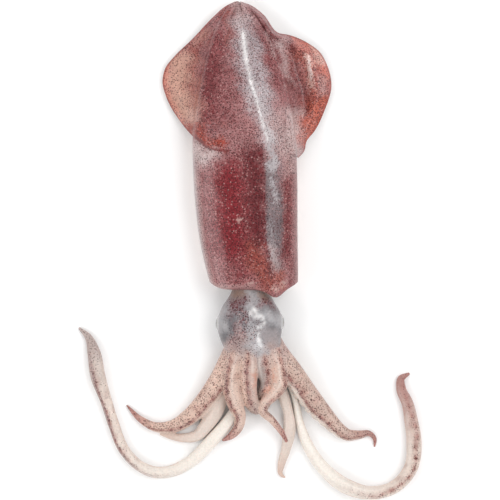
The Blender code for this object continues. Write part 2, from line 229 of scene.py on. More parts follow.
# the back of the mantle and of both fins, from the tip to the collar
backStrokes = (
    ("dusk", 0.85, 0.95, 0.1, 8.5, 0.9, ((-22, 142), (-27, 122), (-29, 92))),
    ("dusk", 0.35, 0.9, 0.1, 5.0, 0.9, ((-13, 124), (-15, 88))),
    ("maroon", 0.45, 0.9, 0.1, 3.4, 0.9, ((-25, 128), (-28, 104))),
    ("brick", 0.8, 0.8, 0.1, 3.6, 0.8, ((-17, 165), (-14, 152), (-13, 143))),
    ("beige", 0.92, 0.62, 0.15, 10.0, 0.85, ((-49, 128), (-50, 112), (-45, 96))),
    ("clay", 0.35, 0.7, 0.3, 1.3, 0.9, ((-43, 125), (-46, 110))),
    ("clay", 0.3, 0.7, 0.3, 1.1, 0.9, ((-39, 120), (-41, 102))),
    ("clay", 0.5, 0.8, 0.3, 3.4, 0.9, ((-37, 134), (-38.5, 100))),
    ("clay", 0.4, 0.9, 0.3, 5.0, 0.9, ((-30, 148), (-38, 138))),
    ("beige", 0.35, 0.7, 0.0, 2.4, 0.9, ((-38, 143), (-30, 150))),
    ("ember", 0.4, 0.7, 0.0, 1.6, 0.9, ((-57, 128), (-59, 116), (-56, 104), (-47, 89))),
    ("brick", 0.5, 0.7, 0.1, 1.4, 0.9, ((-31, 86.5), (-22, 86), (-15, 84))),
    ("dusk", 0.75, 0.9, 0.2, 4.6, 0.8, ((10, 153), (15, 131), (21, 110), (24, 100))),
    # painted shade in the creases pressed into the back
    ("darkRedAndCreaseShade", 0.6, 0.9, 0.3, 1.2, 0.8, ((8.6, 153), (12.5, 141), (15.5, 131))),
    ("darkRedAndCreaseShade", 0.6, 0.9, 0.3, 1.1, 0.8, ((12.5, 152), (17, 139), (20, 128))),
    # pale lines beside the creases and on the right shoulder paint the light they catch, a painted highlight and a
    # painted reflection
    ("shell", 0.5, 0.6, 0.0, 1.0, 0.8, ((11, 150), (15, 138), (17, 132))),
    ("shell", 0.55, 0.6, 0.0, 2.6, 0.9, ((21, 143), (24, 128), (27, 114))),
    # a small patch of dark red spots beside the valley
    ("darkRedAndCreaseShade", 0.7, 0.9, 0.3, 1.8, 0.9, ((25.5, 117), (29, 111))),
    ("ember", 0.5, 0.95, 0.3, 8.5, 0.8, ((37, 134), (47, 120), (46, 100), (39, 82))),
    ("copper", 0.75, 0.9, 0.3, 5.4, 0.9, ((49, 104), (41, 79))),
    ("ember", 0.5, 0.6, 0.0, 2.6, 0.9, ((31, 145), (46, 138), (54, 122))),
    ("dusk", 0.2, 0.85, 0.2, 4.0, 0.9, ((36, 130), (38, 108))),
    # painted shade down the valley between the mantle and the fin at +x
    ("darkRedAndCreaseShade", 0.6, 0.9, 0.1, 2.2, 0.8, ((28.6, 140), (31, 124), (36, 110), (38.6, 96))),
    # the crest of the fin flap at +x: a painted highlight in cream with a thin near-white line down its middle
    ("cream", 0.6, 0.5, 0.0, 1.5, 0.9, ((39.3, 134), (41.5, 124), (42.6, 112))),
    ("paintedHighlight", 0.35, 0.2, 0.0, 0.7, 0.95, ((39.6, 133), (41.2, 126), (42, 118))),
    ("shell", 0.5, 0.8, 0.1, 2.4, 0.9, ((50, 118), (50, 108))),
    ("cream", 0.45, 0.7, 0.1, 3.0, 0.9, ((44, 139), (51, 129))),
    ("dusk", 0.3, 0.9, 0.3, 2.4, 0.9, ((46, 126), (46, 104))),
    ("shell", 0.75, 0.6, 0.0, 6.0, 0.9, ((29, 92), (28, 80), (28, 70))),
    ("rose", 0.6, 0.7, 0.0, 6.0, 0.9, ((19, 104), (19, 84))),
    # pale grey strokes on both sides of the pen ridge paint its wet sheen, a painted reflection
    ("paintedSheen", 0.65, 0.85, 0.0, 6.6, 0.9, ((-6, 156), (-3, 134), (2.7, 114))),
    ("paintedSheenGrey", 0.75, 0.85, 0.0, 4.6, 0.9, ((2, 146), (5, 128), (9.5, 110), (11, 98))),
    ("paintedSheenGrey", 0.4, 0.9, 0.0, 3.6, 0.9, ((-8, 142), (-6, 120), (-1, 100))),
    ("paintedSheen", 0.5, 0.5, 0.0, 0.9, 0.9, ((-0.8, 104), (0.6, 94))),
    ("shell", 0.45, 0.8, 0.0, 5.5, 0.9, ((-7, 171), (-6, 162))),
    ("paintedSheen", 0.7, 0.8, 0.0, 6.0, 0.9, ((3.5, 110), (8, 92), (14, 76))),
    # paler grey right of the pen, painted as the far end of that sheen
    ("rim", 0.5, 0.85, 0.0, 7.5, 0.9, ((18, 86), (24, 68), (28, 56))),
    ("shell", 0.9, 0.65, 0.0, 6.5, 0.9, ((-37, 67), (-28, 62))),
    ("rust", 0.85, 0.85, 0.4, 3.4, 0.7, ((-40, 85), (-33, 77.5), (-26, 72.6), (-19, 71.4))),
    # a painted shadow line under the lower edge of the fin at -x
    ("darkRedAndCreaseShade", 0.9, 0.6, 0.2, 0.9, 0.28, ((-38.5, 78), (-33.6, 74.2), (-30.6, 71.2), (-27.5, 69), (-23, 67.8), (-14.8, 67.2))),
    ("wine", 0.98, 1.0, 0.3, 13.0, 0.9, ((-14, 48), (-12, 6))),
    ("wine", 0.5, 1.0, 0.25, 9.0, 0.9, ((-12, 6), (-6, -14))),
    ("maroon", 0.92, 1.0, 0.7, 6.6, 0.9, ((2, 64), (4.5, 34), (5.4, 8))),
    # a grey band down the right of the pen: paler skin with a painted reflection of the light laid into it
    ("band", 0.55, 0.8, 0.0, 4.6, 0.9, ((15.2, 68), (16.3, 58))),
    ("band", 0.9, 0.75, 0.0, 5.9, 0.22, ((16.3, 56), (16.2, 41), (16.6, 24), (16.9, 7))),
    ("band", 0.75, 0.8, 0.0, 5.2, 0.8, ((16.9, 7), (17.6, -10))),
    ("rose", 0.5, 0.85, 0.2, 2.4, 0.9, ((21, 60), (21.4, 44))),
    # painted sheen lines on and above the grey band
    ("paintedSheen", 0.75, 0.4, 0.0, 1.3, 0.9, ((15, 47), (17, 40), (18, 33))),
    ("paintedSheen", 0.5, 0.4, 0.0, 1.1, 0.9, ((13.6, 20), (13.8, 2), (15, -8))),
    ("shell", 0.45, 0.5, 0.0, 2.2, 0.9, ((15, 2), (18, -12))),
    ("paintedSheen", 0.75, 0.45, 0.0, 2.6, 0.9, ((12, 80), (14.5, 68), (16.5, 55))),
    ("deepRed", 0.85, 0.95, 0.8, 2.5, 0.9, ((25, 46), (25.6, 24), (24.6, -4))),
    # the right flank's dark red, darkened further as painted shade where the flank turns from the light
    ("dusk", 0.75, 0.9, 0.2, 3.4, 0.9, ((30, 50), (30, -20))),
    ("clay", 0.8, 0.9, 0.5, 6.4, 0.9, ((3, -2), (8, -14), (13, -22))),
    ("maroon", 0.5, 0.9, 0.3, 1.6, 0.8, ((11, 6), (12.4, -8), (13.6, -18))),
    ("clay", 0.7, 0.7, 0.2, 2.6, 0.9, ((20, -18), (22, -24))),
    ("ink", 0.85, 0.5, 0.0, 0.7, 0.5, ((4.6, -16.2), (6.6, -15.6))),
    ("ink", 0.5, 0.5, 0.0, 0.6, 0.9, ((12.4, -6), (12.8, -12), (13.4, -19))),
    ("cream", 0.4, 0.4, 0.0, 1.3, 0.9, ((-7.8, 20), (-6.8, 20.6))),
    ("cream", 0.35, 0.4, 0.0, 1.2, 0.9, ((0.2, -22), (1.6, -22.4))),
    ("cream", 0.45, 0.3, 0.0, 1.4, 0.9, ((16.4, -26), (17.6, -26.4))),
    ("cream", 0.4, 0.3, 0.0, 1.2, 0.9, ((21.6, -24), (23.6, -22))),
    # along the pen ridge: a pale painted sheen, then thin painted highlight lines down its crest
    ("paintedSheen", 0.6, 0.5, 0.0, 2.2, 0.9, ((-4.8, 150), (-3.5, 134.5), (-1.4, 124), (0.7, 114), (4.8, 101),
                                         (8.3, 91), (11, 81))),
    ("paintedHighlight", 0.6, 0.2, 0.0, 1.1, 0.95, ((-4.9, 148), (-4.2, 142), (-2.6, 130))),
    ("paintedHighlight", 0.55, 0.2, 0.0, 0.75, 0.95, ((-2.6, 130), (-1.4, 124), (0.5, 114))),
    ("paintedHighlight", 0.7, 0.2, 0.0, 0.7, 0.95, ((0.5, 114), (2.1, 109))),
    ("paintedHighlight", 0.55, 0.2, 0.0, 0.6, 0.95, ((2.1, 109), (4.4, 101), (7.4, 91))),
    ("paintedHighlight", 0.45, 0.3, 0.0, 0.8, 0.95, ((7.8, 89), (9.4, 83))),
    ("paintedHighlight", 0.4, 0.3, 0.0, 0.7, 0.95, ((10.4, 80), (12.2, 75))),
)
mantleAxis = Route(mantle["axis"])


def mantleSection(station):
    spare = mantle["length"] - mantle["grows"]
    grown = 1 - (1 - np.minimum(station / mantle["grows"], 1)) ** 2
    narrowed = 1 - mantle["narrows"] * (np.maximum(0, station - mantle["grows"]) / spare) ** 2
    half = mantle["width"] / 2 * grown**0.7 * narrowed
    rise = mantle["tipRise"] * np.maximum(0, 1 - station / 40) ** 2
    top = rise + mantle["height"] * grown**0.7 * narrowed
    centre = mantleAxis.at(station / mantle["length"])[..., 0]
    return centre, half, rise, rise + 0.46 * (top - rise), top


def penAngle(station):
    return np.radians(84 - 22 * station / mantle["length"])


def mantleSurface(station, inset, angle):
    centre, half, bottom, middle, top = mantleSection(np.minimum(station, mantle["length"]))
    away = angle - penAngle(station)
    ridge = mantle["penRidge"] * np.exp(-((away / mantle["penSpread"]) ** 2))
    crest = mantle["crest"] * np.exp(-((away / mantle["crestSpread"]) ** 2))
    ridge = (ridge + crest) * np.minimum(1, station / 30)
    across = squared(np.cos(angle), mantle["roundness"]) * (half - inset)
    upward = squared(np.sin(angle), mantle["roundness"])
    upper = middle + upward * (top - middle - inset) + ridge * (inset == 0)
    lower = np.maximum(middle + upward * (middle - bottom + mantle["bellySink"]), bottom + inset)
    lobe = mantle["lobe"] * np.exp(-(((angle - penAngle(mantle["length"])) / math.radians(15)) ** 2))
    edge = lobe - mantle["sides"] * np.abs(np.cos(angle)) ** 6
    y = mantle["tipY"] - station - edge * (station / mantle["length"]) ** 12
    return np.stack((centre + across, y, np.where(angle > 0, upper, lower)), axis=-1)


def mantleTop(x, y):
    station = np.clip(mantle["tipY"] - y, 0.5, mantle["length"])
    centre, half, _, middle, top = mantleSection(station)
    off = np.minimum(np.abs(x - centre) / half, 1)
    dome = (1 - off ** mantle["roundness"]) ** (1 / mantle["roundness"])
    return np.where(off < 1, middle + (top - middle) * dome, 0)


def softMax(first, second, reach):
    near = np.maximum(reach - np.abs(first - second), 0) / reach
    return np.maximum(first, second) + near * near * reach / 4


def pressed(x, y):
    return sum(depth * np.exp(-((1 - strokeWeight(x, y, points, width, 1.0)) * 1.7) ** 2) * -1 *
               (strokeWeight(x, y, points, width * 1.6, 0.9) > 0) for depth, width, points in creases)


def makeMantle():
    outside = mantle["length"] * (np.arange(1, 241) / 240) ** 1.15
    rim = np.array([(mantle["length"] + 0.5, 0.5), (mantle["length"] + 0.9, 1.2), (mantle["length"] + 0.9, 2.2),
                    (mantle["length"] + 0.5, 3.0), (mantle["length"], mantle["wall"])])
    depths = np.array([1, 3, 6, 9, 12, 15, 17, 19, 21, mantle["recess"] - 1.2])
    more = np.array([0, 0, 0.1, 0.2, 0.5, 0.9, 1.4, 2.4, 4, 8])
    stations = np.concatenate((outside, rim[:, 0], mantle["length"] - depths))
    insets = np.concatenate((0 * outside, rim[:, 1], mantle["wall"] + more))
    rows, angles = ringGrid(np.arange(len(stations)), 300)
    station, inset = stations[rows], insets[rows]
    grid = mantleSurface(station, inset, angles)
    x, y, z = grid[..., 0], grid[..., 1], grid[..., 2]
    centre, half, _, middle, _ = mantleSection(np.clip(mantle["tipY"] - y, 0.5, mantle["length"]))
    side = np.abs(x - centre) / half
    upper = smooth(z, middle * 0.55, middle * 1.05)
    wave = np.sin(x * 0.31 + y * 0.07) * np.sin(y * 0.13 + 1.3) + 0.5 * np.sin(x * 0.11 - y * 0.29)
    grid[..., 2] = z + (mantle["ripple"] * wave + pressed(x, y)) * smooth(z, 3, 12) * (inset == 0)

    layers = plainLayers(x.shape, "rose", 0.85)
    layers = paint(layers, x, y, backStrokes)
    flank = smooth(side, 0.8, 1.0) * smooth(station, 105, 125) * np.where(x < centre, 0.8, 0.3)
    layers = blend(layers, flank, "rim", 0.65)
    # a painted highlight along the outer edge of the flank at -x
    layers = blend(layers, smooth(side, 0.92, 1.0) * smooth(station, 100, 112) * (x < centre) * 0.6, "paintedSheen", 0.4)
    layers = blend(layers, 1 - upper, "belly", 0.3)
    edge = smooth(station, mantle["length"] - 3.5, mantle["length"]) * smooth(-x, -9, 4)
    layers = blend(layers, edge * 0.6, "rim", 0.4)
    dark = smooth(station, mantle["length"] - 1.4, mantle["length"] - 0.4) * smooth(-x, -8, -2) * smooth(x, -18, -10)
    layers = blend(layers, dark * 0.6, "deepRed", 0.5)
    layers = blend(layers, smooth(inset, 1.3, 2.6), "inside", 0.0)
    ends = ((-9, mantle["tipY"], mantle["tipRise"]),
            (2.6, mantle["tipY"] - mantle["length"] + mantle["recess"], float(middle[-1].mean())))
    return closedPiece("mantleSkin", grid, ends, layers)


def makeFin(side):
    fin = fins[side]
    edge, root = Route(fin["edge"]), Route(fin["root"])

    def surface(along, angle):
        breadth = 0.5 + 0.5 * np.cos(angle)
        plan = root.at(along) + (edge.at(along) - root.at(along)) * breadth[..., None]
        x, y = plan[..., 0], plan[..., 1]
        centre, half, _, _, top = mantleSection(np.clip(mantle["tipY"] - y, 0.05, mantle["length"]))
        beyond = np.maximum(0, np.abs(x - centre) - 0.8 * half) / finForm["drape"]
        drape = finForm["edgeZ"] + 0.58 * top * np.exp(-(beyond**2))
        sunk = 1.0 - finForm["rootSinks"] * (1 - smooth(breadth, 0, finForm["rises"]))
        sunk = sunk - fin["frontSinks"] * smooth(along, 0.8, 0.97) * (1 - smooth(breadth, 0.5, 0.95))
        resting = np.maximum(mantleTop(x, y) + sunk, 0.1)
        z = softMax(drape, resting, finForm["fillet"])
        bulge = fin["flap"] * np.exp(-(((breadth - finForm["flapAt"]) / finForm["flapSpread"]) ** 2))
        z = z + bulge * np.sin(math.pi * np.clip(along, 0, 1)) ** 0.5
        z = z + fin["pleats"] * np.sin(breadth * 30 + along * 9) * smooth(breadth, 0.45, 0.7)
        z = z + pressed(x, y) * smooth(breadth, 0.1, 0.3)
        thick = finForm["rootThick"] + (finForm["edgeThick"] - finForm["rootThick"]) * breadth
        thick = thick * (0.25 + 0.75 * smooth(breadth, 0, 0.4))
        off = np.abs(x - centre) / half
        bedded = thick + 2 * finForm["bedding"] * np.clip((1.2 - off) / 0.2, 0, 1)
        z = z + np.where(angle < 0, bedded, thick) / 2 * np.sin(angle)
        return np.stack((x, y, z), axis=-1), breadth

    rows, angles = ringGrid(np.linspace(0.006, 0.994, 190), 150)
    grid, breadth = surface(rows, angles)
    x, y = grid[..., 0], grid[..., 1]
    layers = plainLayers(x.shape, "rose", 0.85)
    layers = paint(layers, x, y, backStrokes)
    layers = blend(layers, smooth(breadth, 0.955, 0.985) * 0.6, "brick", 0.5)
    layers = blend(layers, smooth(-np.sin(angles), 0.05, 0.4), "belly", 0.2)
    tip = [surface(np.array([share] * 2), np.array([0.0, math.pi]))[0].mean(axis=0) for share in (0.0, 1.0)]
    return closedPiece(f"{side}Fin", grid, tip, layers)


print("mantle and fins")
mantleSkin = makeMantle()
finSkins = [makeFin(side) for side in fins]


# ---- head, arms and tentacles

head = {
    "rows": ((1.2, 8, 7, 9, 21), (1, 0, 10, 6.5, 24), (0.6, -12, 11.4, 5, 25.5), (0.5, -27, 12.7, 4, 26.5),
             (0.1, -32, 14.6, 3.6, 27.4), (-0.2, -37, 17.7, 3.2, 28.5), (0, -43, 20.9, 2.8, 29.6),
             (0, -49, 22.1, 2.6, 30), (-0.1, -55, 22, 2.2, 29.4), (0.1, -59, 21.1, 1.9, 28.6), (1, -65, 19.8, 1.2, 26.6),
             (2, -71, 16.4, 1.6, 22.4), (3, -77, 10, 3, 17)),
    "roundness": 2.2, "dent": 1.4,
}
headStrokes = (
    ("brown", 0.8, 0.2, 0.1, 3.6, 0.9, ((-11, -28), (-4, -29))),
    ("brown", 0.8, 0.2, 0.3, 2.8, 0.9, ((9, -30), (12, -33))),
    ("pearl", 0.8, 0.1, 0.0, 2.0, 0.8, ((-1, -27), (-0.4, -38))),
    ("cluster", 0.7, 0.9, 1.0, 3.6, 0.9, ((-12, -42), (-10, -36), (-5, -36))),
    ("smoke", 0.7, 1.0, 0.6, 4.0, 0.9, ((-11, -44), (-5, -43))),
    ("cluster", 0.75, 0.9, 1.0, 3.0, 0.9, ((7, -36), (13, -37))),
    ("smoke", 0.75, 1.0, 0.2, 5.0, 0.9, ((-6, -48), (-2, -54))),
    ("slate", 0.8, 0.6, 0.15, 4.0, 0.9, ((-13.5, -48), (-13, -58))),
    ("slate", 0.7, 0.1, 0.0, 1.9, 0.9, ((-18.6, -56), (-18, -62))),
    ("pearl", 0.4, 0.05, 0.0, 3.0, 0.9, ((-18, -43), (-19.5, -52))),
    ("cluster", 0.5, 0.9, 0.9, 3.0, 0.9, ((-8, -54), (-10, -62), (-13, -68))),
    ("slate", 0.6, 0.2, 0.1, 2.6, 0.9, ((9, -41), (15, -43))),
    ("pearl", 0.7, 0.0, 0.0, 3.6, 0.9, ((14, -46), (19, -50))),
    ("slate", 0.75, 0.0, 0.0, 3.0, 0.9, ((14, -51), (16, -51))),
    ("slate", 0.75, 0.0, 0.0, 1.5, 0.9, ((21, -54), (20.5, -60))),
    ("shell", 0.2, 0.15, 0.0, 4.6, 0.95, ((12, -57), (16, -62))),
    ("blushed", 0.6, 0.85, 0.5, 4.4, 0.9, ((-6, -58), (-10, -68))),
    ("blushed", 0.8, 0.5, 0.2, 5.0, 0.9, ((-14, -70), (-6, -74))),
    ("blushed", 0.8, 0.3, 0.1, 5.0, 0.9, ((14, -68), (20, -74))),
    ("pearl", 0.75, 0.8, 0.1, 4.0, 0.9, ((2, -55), (5, -68))),
    # painted highlights where the wet crown of the head catches the light
    ("paintedHighlight", 0.45, 0.1, 0.0, 0.9, 0.95, ((3, -40.4), (-0.4, -42.6))),
    ("paintedHighlight", 0.6, 0.1, 0.0, 1.2, 0.95, ((2.8, -39.6), (5.4, -44.3), (8.2, -46))),
    ("paintedHighlight", 0.45, 0.1, 0.0, 1.0, 0.95, ((0.4, -43.6), (4, -46))),
    ("paintedHighlight", 0.5, 0.1, 0.0, 0.8, 0.95, ((8.8, -46.6), (9.8, -49.4), (7.8, -52), (5, -52.8))),
    ("pearl", 0.7, 0.2, 0.0, 1.2, 0.9, ((-0.4, -50.8), (2.5, -48.8))),
    ("slate", 0.5, 0.2, 0.0, 1.0, 0.9, ((3.2, -43.2), (3.8, -43.6))),
    ("smoke", 0.85, 0.6, 0.0, 1.9, 0.7, ((4.4, -50), (6.4, -48.6))),
    ("paintedHighlight", 0.4, 0.3, 0.0, 1.1, 0.95, ((5.6, -57), (6, -61))),
    ("paintedHighlight", 0.65, 0.1, 0.0, 1.0, 0.95, ((6, -61), (7, -66))),
    ("pearl", 0.7, 0.4, 0.0, 2.2, 0.9, ((5, -67), (8, -71), (13, -71))),
)
eyes = {"radius": 8.8, "right": (-14.8, -50.2, 15.6), "left": (14.8, -49.6, 15.6),
        "lidRadius": 9.25, "lidIn": 0.8}

# each arm: its route as x, y, underside and half width; where its dotted keel runs across it (-1 to 1,
# seen from above), which way the brown outer side lies from it and how wide it is; how dotted the arm is;
# and the colours of its skin, inner face and tip
arms = {
    "right1": {"rows": ((-1.2, -68, 14, 5.4), (-0.9, -84, 11, 6.2), (-0.7, -96, 8.6, 5.6), (1.2, -105.2, 5, 5.2),
                        (5, -109.8, 2.6, 3.9), (9.5, -109, 1.2, 1.6)),
               "keel": 0.15, "outer": 1, "band": 0.3, "line": 0.75, "dots": 0.8, "skin": "arm", "face": "speckled", "tip": "greyTip"},
    "left1": {"rows": ((8.6, -68, 13, 4.8), (9.9, -82, 10, 5.8), (11, -92, 7, 4.2), (8.8, -99, 4, 4),
                       (5.5, -104, 2, 1.8)),
              "keel": -0.15, "outer": -1, "band": 0.34, "line": 0.15, "dots": 0.85, "skin": "speckled", "face": "greyTip", "tip": "arm"},
    "right2": {"rows": ((-7.5, -68, 12, 5.6), (-12.8, -85, 10, 5.8), (-12.6, -96.6, 8.2, 6.1),
                        (-10.3, -105.6, 8, 5.4), (-7, -114.5, 7.4, 4.2), (-8, -121.8, 4.4, 3.5),
                        (-13, -128, 3.4, 2.6), (-19, -131.4, 4, 0.9)),
               "keel": 0.45, "outer": 1, "band": 0.26, "line": 0.8, "dots": 0.9, "skin": "arm", "face": "face", "tip": "tip"},
    "left2": {"rows": ((16, -68, 12, 5.8), (20.2, -83, 9.4, 6.1), (20.4, -91.8, 8, 5.8), (16.4, -98.5, 7.6, 4.8),
                       (10.9, -104.4, 7.2, 4), (9, -111, 5.4, 3.2), (14.6, -116.6, 4, 2.6),
                       (20.2, -123.4, 5, 2.1), (25.2, -132.2, 7.6, 0.8)),
              "keel": -0.5, "outer": -1, "band": 0.24, "line": 0.1, "dots": 0.85, "skin": "speckled", "face": "face", "tip": "tip"},
    "right3": {"rows": ((-12, -67, 7, 5.4), (-23, -92.2, 3, 6.9), (-32.9, -106, 1, 6.5), (-42.6, -115.6, 0.3, 5.7),
                        (-53.8, -121.8, 0.3, 4.5), (-65.2, -122.1, 0.3, 3.4), (-75.4, -117, 0.3, 2.3),
                        (-85.2, -107.2, 0.4, 0.7)),
               "keel": -0.5, "outer": 1, "band": 0.2, "dots": 0.85, "skin": "arm", "face": "face", "tip": "tip"},
    "left3": {"rows": ((13, -54, 9, 5), (18.4, -66, 7.6, 5.6), (29.7, -84.4, 5.6, 7.2), (38.3, -97.1, 2.4, 7.2),
                       (45.9, -107.4, 0.6, 7), (53.2, -115.7, 0.3, 6), (60.3, -122.9, 0.3, 4.9),
                       (67.6, -127.6, 0.3, 4.1), (75.2, -127.5, 0.3, 3.1), (82.6, -126.8, 0.3, 2),
                       (86, -130, 0.4, 1.5), (86, -136.1, 0.4, 0.7)),
              "keel": 0.5, "outer": -1, "band": 0.2, "dots": 0.8, "skin": "tan", "face": "pale", "tip": "tip",
               "web": 0.52, "frill": 0.7},
    "right4": {"rows": ((-7, -70, 2.2, 5.2), (-14.6, -90, 0.5, 4.9), (-19.9, -101.4, 0.3, 4.8),
                        (-23.2, -110.5, 0.3, 5.1), (-30.3, -121, 0.3, 4.8), (-36.6, -128, 0.3, 3.9),
                        (-45.5, -129.6, 0.3, 3.2), (-53.5, -128.9, 0.3, 2.3), (-62.1, -127, 0.3, 0.9)),
               "keel": 0.4, "outer": 1, "band": 0.2, "dots": 0.15, "skin": "pale", "face": "pale", "tip": "face"},
    "left4": {"rows": ((10, -70, 2.2, 5.2), (17.5, -88, 0.5, 4.5), (23.2, -101.4, 0.3, 4.2),
                       (26.2, -111.1, 0.3, 3.6), (27.2, -122.8, 0.3, 4.4), (24.6, -138, 0.3, 3.4),
                       (21.4, -149, 0.3, 2.5), (21, -154.4, 0.3, 1.6), (24.2, -157.4, 0.4, 0.7)),
              "keel": 0.5, "outer": 1, "band": 0.2, "dots": 0.12, "skin": "pale", "face": "pale", "tip": "arm"},
}
tentacles = {
    "right": {"rows": ((0, -71, 3.6, 3.2), (-5.5, -88.3, 0.4, 3.5), (-9.3, -100.7, 0.2, 3.6),
                       (-10.7, -111.1, 0.2, 4), (-15.9, -119.4, 0.2, 4.4), (-24.5, -129.4, 0.2, 4.6),
                       (-43.8, -147.7, 0.2, 4.3), (-54.2, -152.5, 0.2, 4.1), (-66.1, -153.2, 0.2, 4),
                       (-76.4, -148.8, 0.2, 3.8), (-86, -139.2, 0.2, 3.8), (-94, -120.4, 0.2, 3.9),
                       (-99.4, -103.5, 0.2, 4.1), (-104.9, -86.9, 0.2, 5.2), (-107.8, -70.4, 0.2, 4.5),
                       (-111.4, -60.5, 0.2, 2.6), (-118, -53.9, 0.3, 0.8)),
              "keel": -0.55, "outer": -1, "band": 0.3, "dots": 0.75, "skin": "greyTip", "face": "pale", "tip": "greyTip",
              "clubFrom": 0.7, "paleTo": (0.35, 0.68)},
    "left": {"rows": ((15.5, -69, 3.6, 2.5), (22.3, -82, 0.9, 2.5), (27.2, -92, 0.3, 2.4), (31, -102.1, 0.2, 2.4),
                      (34.5, -120.1, 0.2, 2.9), (38.7, -132.2, 0.2, 3.7), (51.1, -151, 0.2, 4.6),
                      (67.4, -163.4, 0.2, 5.3), (82.1, -167.4, 0.2, 4.7), (98.8, -163.8, 0.2, 4.5),
                      (110.4, -151.4, 0.2, 4.8), (113, -131.1, 0.2, 5.3), (111.3, -118.7, 0.2, 4.8),
                      (108.6, -105.8, 0.2, 4.1), (104.2, -95.2, 0.2, 3.4), (104.3, -89, 0.2, 2.6),
                      (109.9, -85.4, 0.3, 0.9)),
             "keel": 0.3, "outer": 1, "band": 0.35, "dots": 0.4, "line": 0.3, "skin": "pale", "face": "pale", "tip": "tip",
             "clubFrom": 0.5, "paleTo": (0.4, 0.62)},
}
limbForm = {"depth": 0.85, "keelHeight": 0.17, "web": 0.10, "frill": 0.4, "scallop": 6.5, "redTip": (0.72, 1.0)}
armStrokes = (
    ("peach", 0.6, 0.2, 0.0, 1.0, 0.9, ((3.8, -84), (3.4, -94))),
    ("peach", 0.55, 0.2, 0.0, 0.8, 0.9, ((16.2, -82), (16.6, -90))),
    ("peach", 0.6, 0.3, 0.0, 1.0, 0.9, ((9.6, -97.6), (14.4, -94))),
)


def limbSurface(limb, share, angle):
    route = limb["route"]
    place, forward = route.at(share), route.heading(share)
    half = np.maximum(place[..., 3], 0.4)
    keelAngle = math.acos(limb["keel"])
    keel = limbForm["keelHeight"] * np.exp(-(((angle - keelAngle) / 0.22) ** 2)) * (1 - share) ** 0.5
    frill = limb.get("frill", limbForm["frill"])
    scallop = 1 - frill * (1 - np.abs(np.sin(share * route.length / limbForm["scallop"] * math.pi)))
    edges = np.exp(-(((angle + 0.5) / 0.2) ** 2)) + np.exp(-(((angle + math.pi - 0.5) / 0.2) ** 2))
    web = np.where(np.cos(angle) * limb["outer"] < 0, limb.get("web", limbForm["web"]), limbForm["web"])
    swell = 1 + keel + web * edges * scallop * (1 - 0.6 * share)
    across = half * np.cos(angle) * swell
    upward = half * limbForm["depth"] * np.sin(angle) * np.where(angle > 0, swell, 1)
    x = place[..., 0] + forward[..., 1] * across
    y = place[..., 1] - forward[..., 0] * across
    return np.stack((x, y, place[..., 2] + half * limbForm["depth"] + upward), axis=-1)


def limbLayers(limb, share, angle):
    side = np.cos(angle)
    upper = smooth(np.sin(angle), -0.45, 0.2)
    outward = limb["outer"]
    run = share * limb["route"].length
    side = side + 0.14 * np.sin(run * 0.21 + limb["keel"] * 9) + scatter.normal(0, 0.09, share.shape)
    beyond = smooth((side - limb["keel"]) * outward, -0.5 * limb["band"] - 0.15, 0.15)
    layers = plainLayers(share.shape, limb["face"], limb["dots"] * 0.35)
    layers = blend(layers, beyond * upper, limb["skin"], limb["dots"] * 0.8, 0.25)
    patch = smooth(np.sin(run * 0.31 + 2) * np.sin(run * 0.17 + angle * 2), 0.2, 0.9) * upper
    layers = blend(layers, patch * 0.3 * (limb["dots"] > 0.3), "keel", limb["dots"] * 0.9, 0.4)
    keel = np.exp(-(((side - limb["keel"]) / limb["band"]) ** 2)) * upper * (limb["dots"] > 0.3)
    layers = blend(layers, keel * (0.62 + 0.2 * np.sin(run * 0.9)), "keel", 1.0, 0.85)
    line = np.exp(-(((np.cos(angle) - limb["keel"] + scatter.normal(0, 0.03, share.shape)) / (limb["band"] * 0.42)) ** 2))
    line = line * upper * (limb["dots"] > 0.5) * smooth(share, 0.05, 0.3)
    layers = blend(layers, line * limb.get("line", 0.6) * (0.75 + 0.25 * np.sin(run * 0.55)), "cluster", 1.0, 0.8)
    # a thin painted highlight along the edge of the pale inner face
    paintedEdgeHighlight = np.exp(-(((np.cos(angle) - limb["keel"] + outward * limb["band"] * 2) / 0.09) ** 2)) * upper
    layers = blend(layers, paintedEdgeHighlight * (limb["dots"] > 0.3) * 0.45 * smooth(share, 0.8, 0.3), "edge", 0.05)
    drift = scatter.normal(0, 0.12, share.shape) + 0.25 * np.sin(run * 0.9 + side * 3)
    layers["dots"] = np.clip(layers["dots"] * (1 + drift), 0, 1)
    if "paleTo" in limb:
        layers = blend(layers, 1 - smooth(share, *limb["paleTo"]), "ivory", 0.06)
        outline = smooth(np.abs(np.cos(angle)), 0.8, 0.97) * smooth(np.sin(run * 0.4) + np.sin(run * 0.13), -0.8, 0.8)
        layers = blend(layers, outline * 0.45 * smooth(share, 0.1, 0.3), "arm", 0.6, 0.5)
    root = smooth(limb["route"].at(share)[..., 1], -80, -68) * (limb["dots"] > 0.3)
    layers = blend(layers, root * 0.7 * (1 - keel), "blushed", 0.7, 0.3)
    tip = smooth(share, *limbForm["redTip"])
    layers = blend(layers, tip * 0.85, limb["tip"], limb["dots"] * 0.8, 0.2)
    return layers


def makeLimb(name, limb, spacing, around):
    limb["route"] = Route(limb["rows"])
    count = max(12, round(limb["route"].length / spacing))
    share, angle = ringGrid(np.linspace(0, 1, count), around)
    ends = []
    for end, direction in ((0.0, -1), (1.0, 1)):
        x, y, lift, half = limb["route"].at(np.array(end))
        forward = limb["route"].heading(np.array(end)) * direction * half * 0.6
        ends.append((x + forward[0], y + forward[1], lift + half * limbForm["depth"]))
    grid = limbSurface(limb, share, angle)
    layers = limbLayers(limb, share, angle)
    if name.endswith(("1Form", "2Form")):
        layers = paint(layers, grid[..., 0], grid[..., 1], armStrokes, smooth(np.sin(angle), -0.2, 0.3))
    return closedPiece(name, grid, ends, layers)


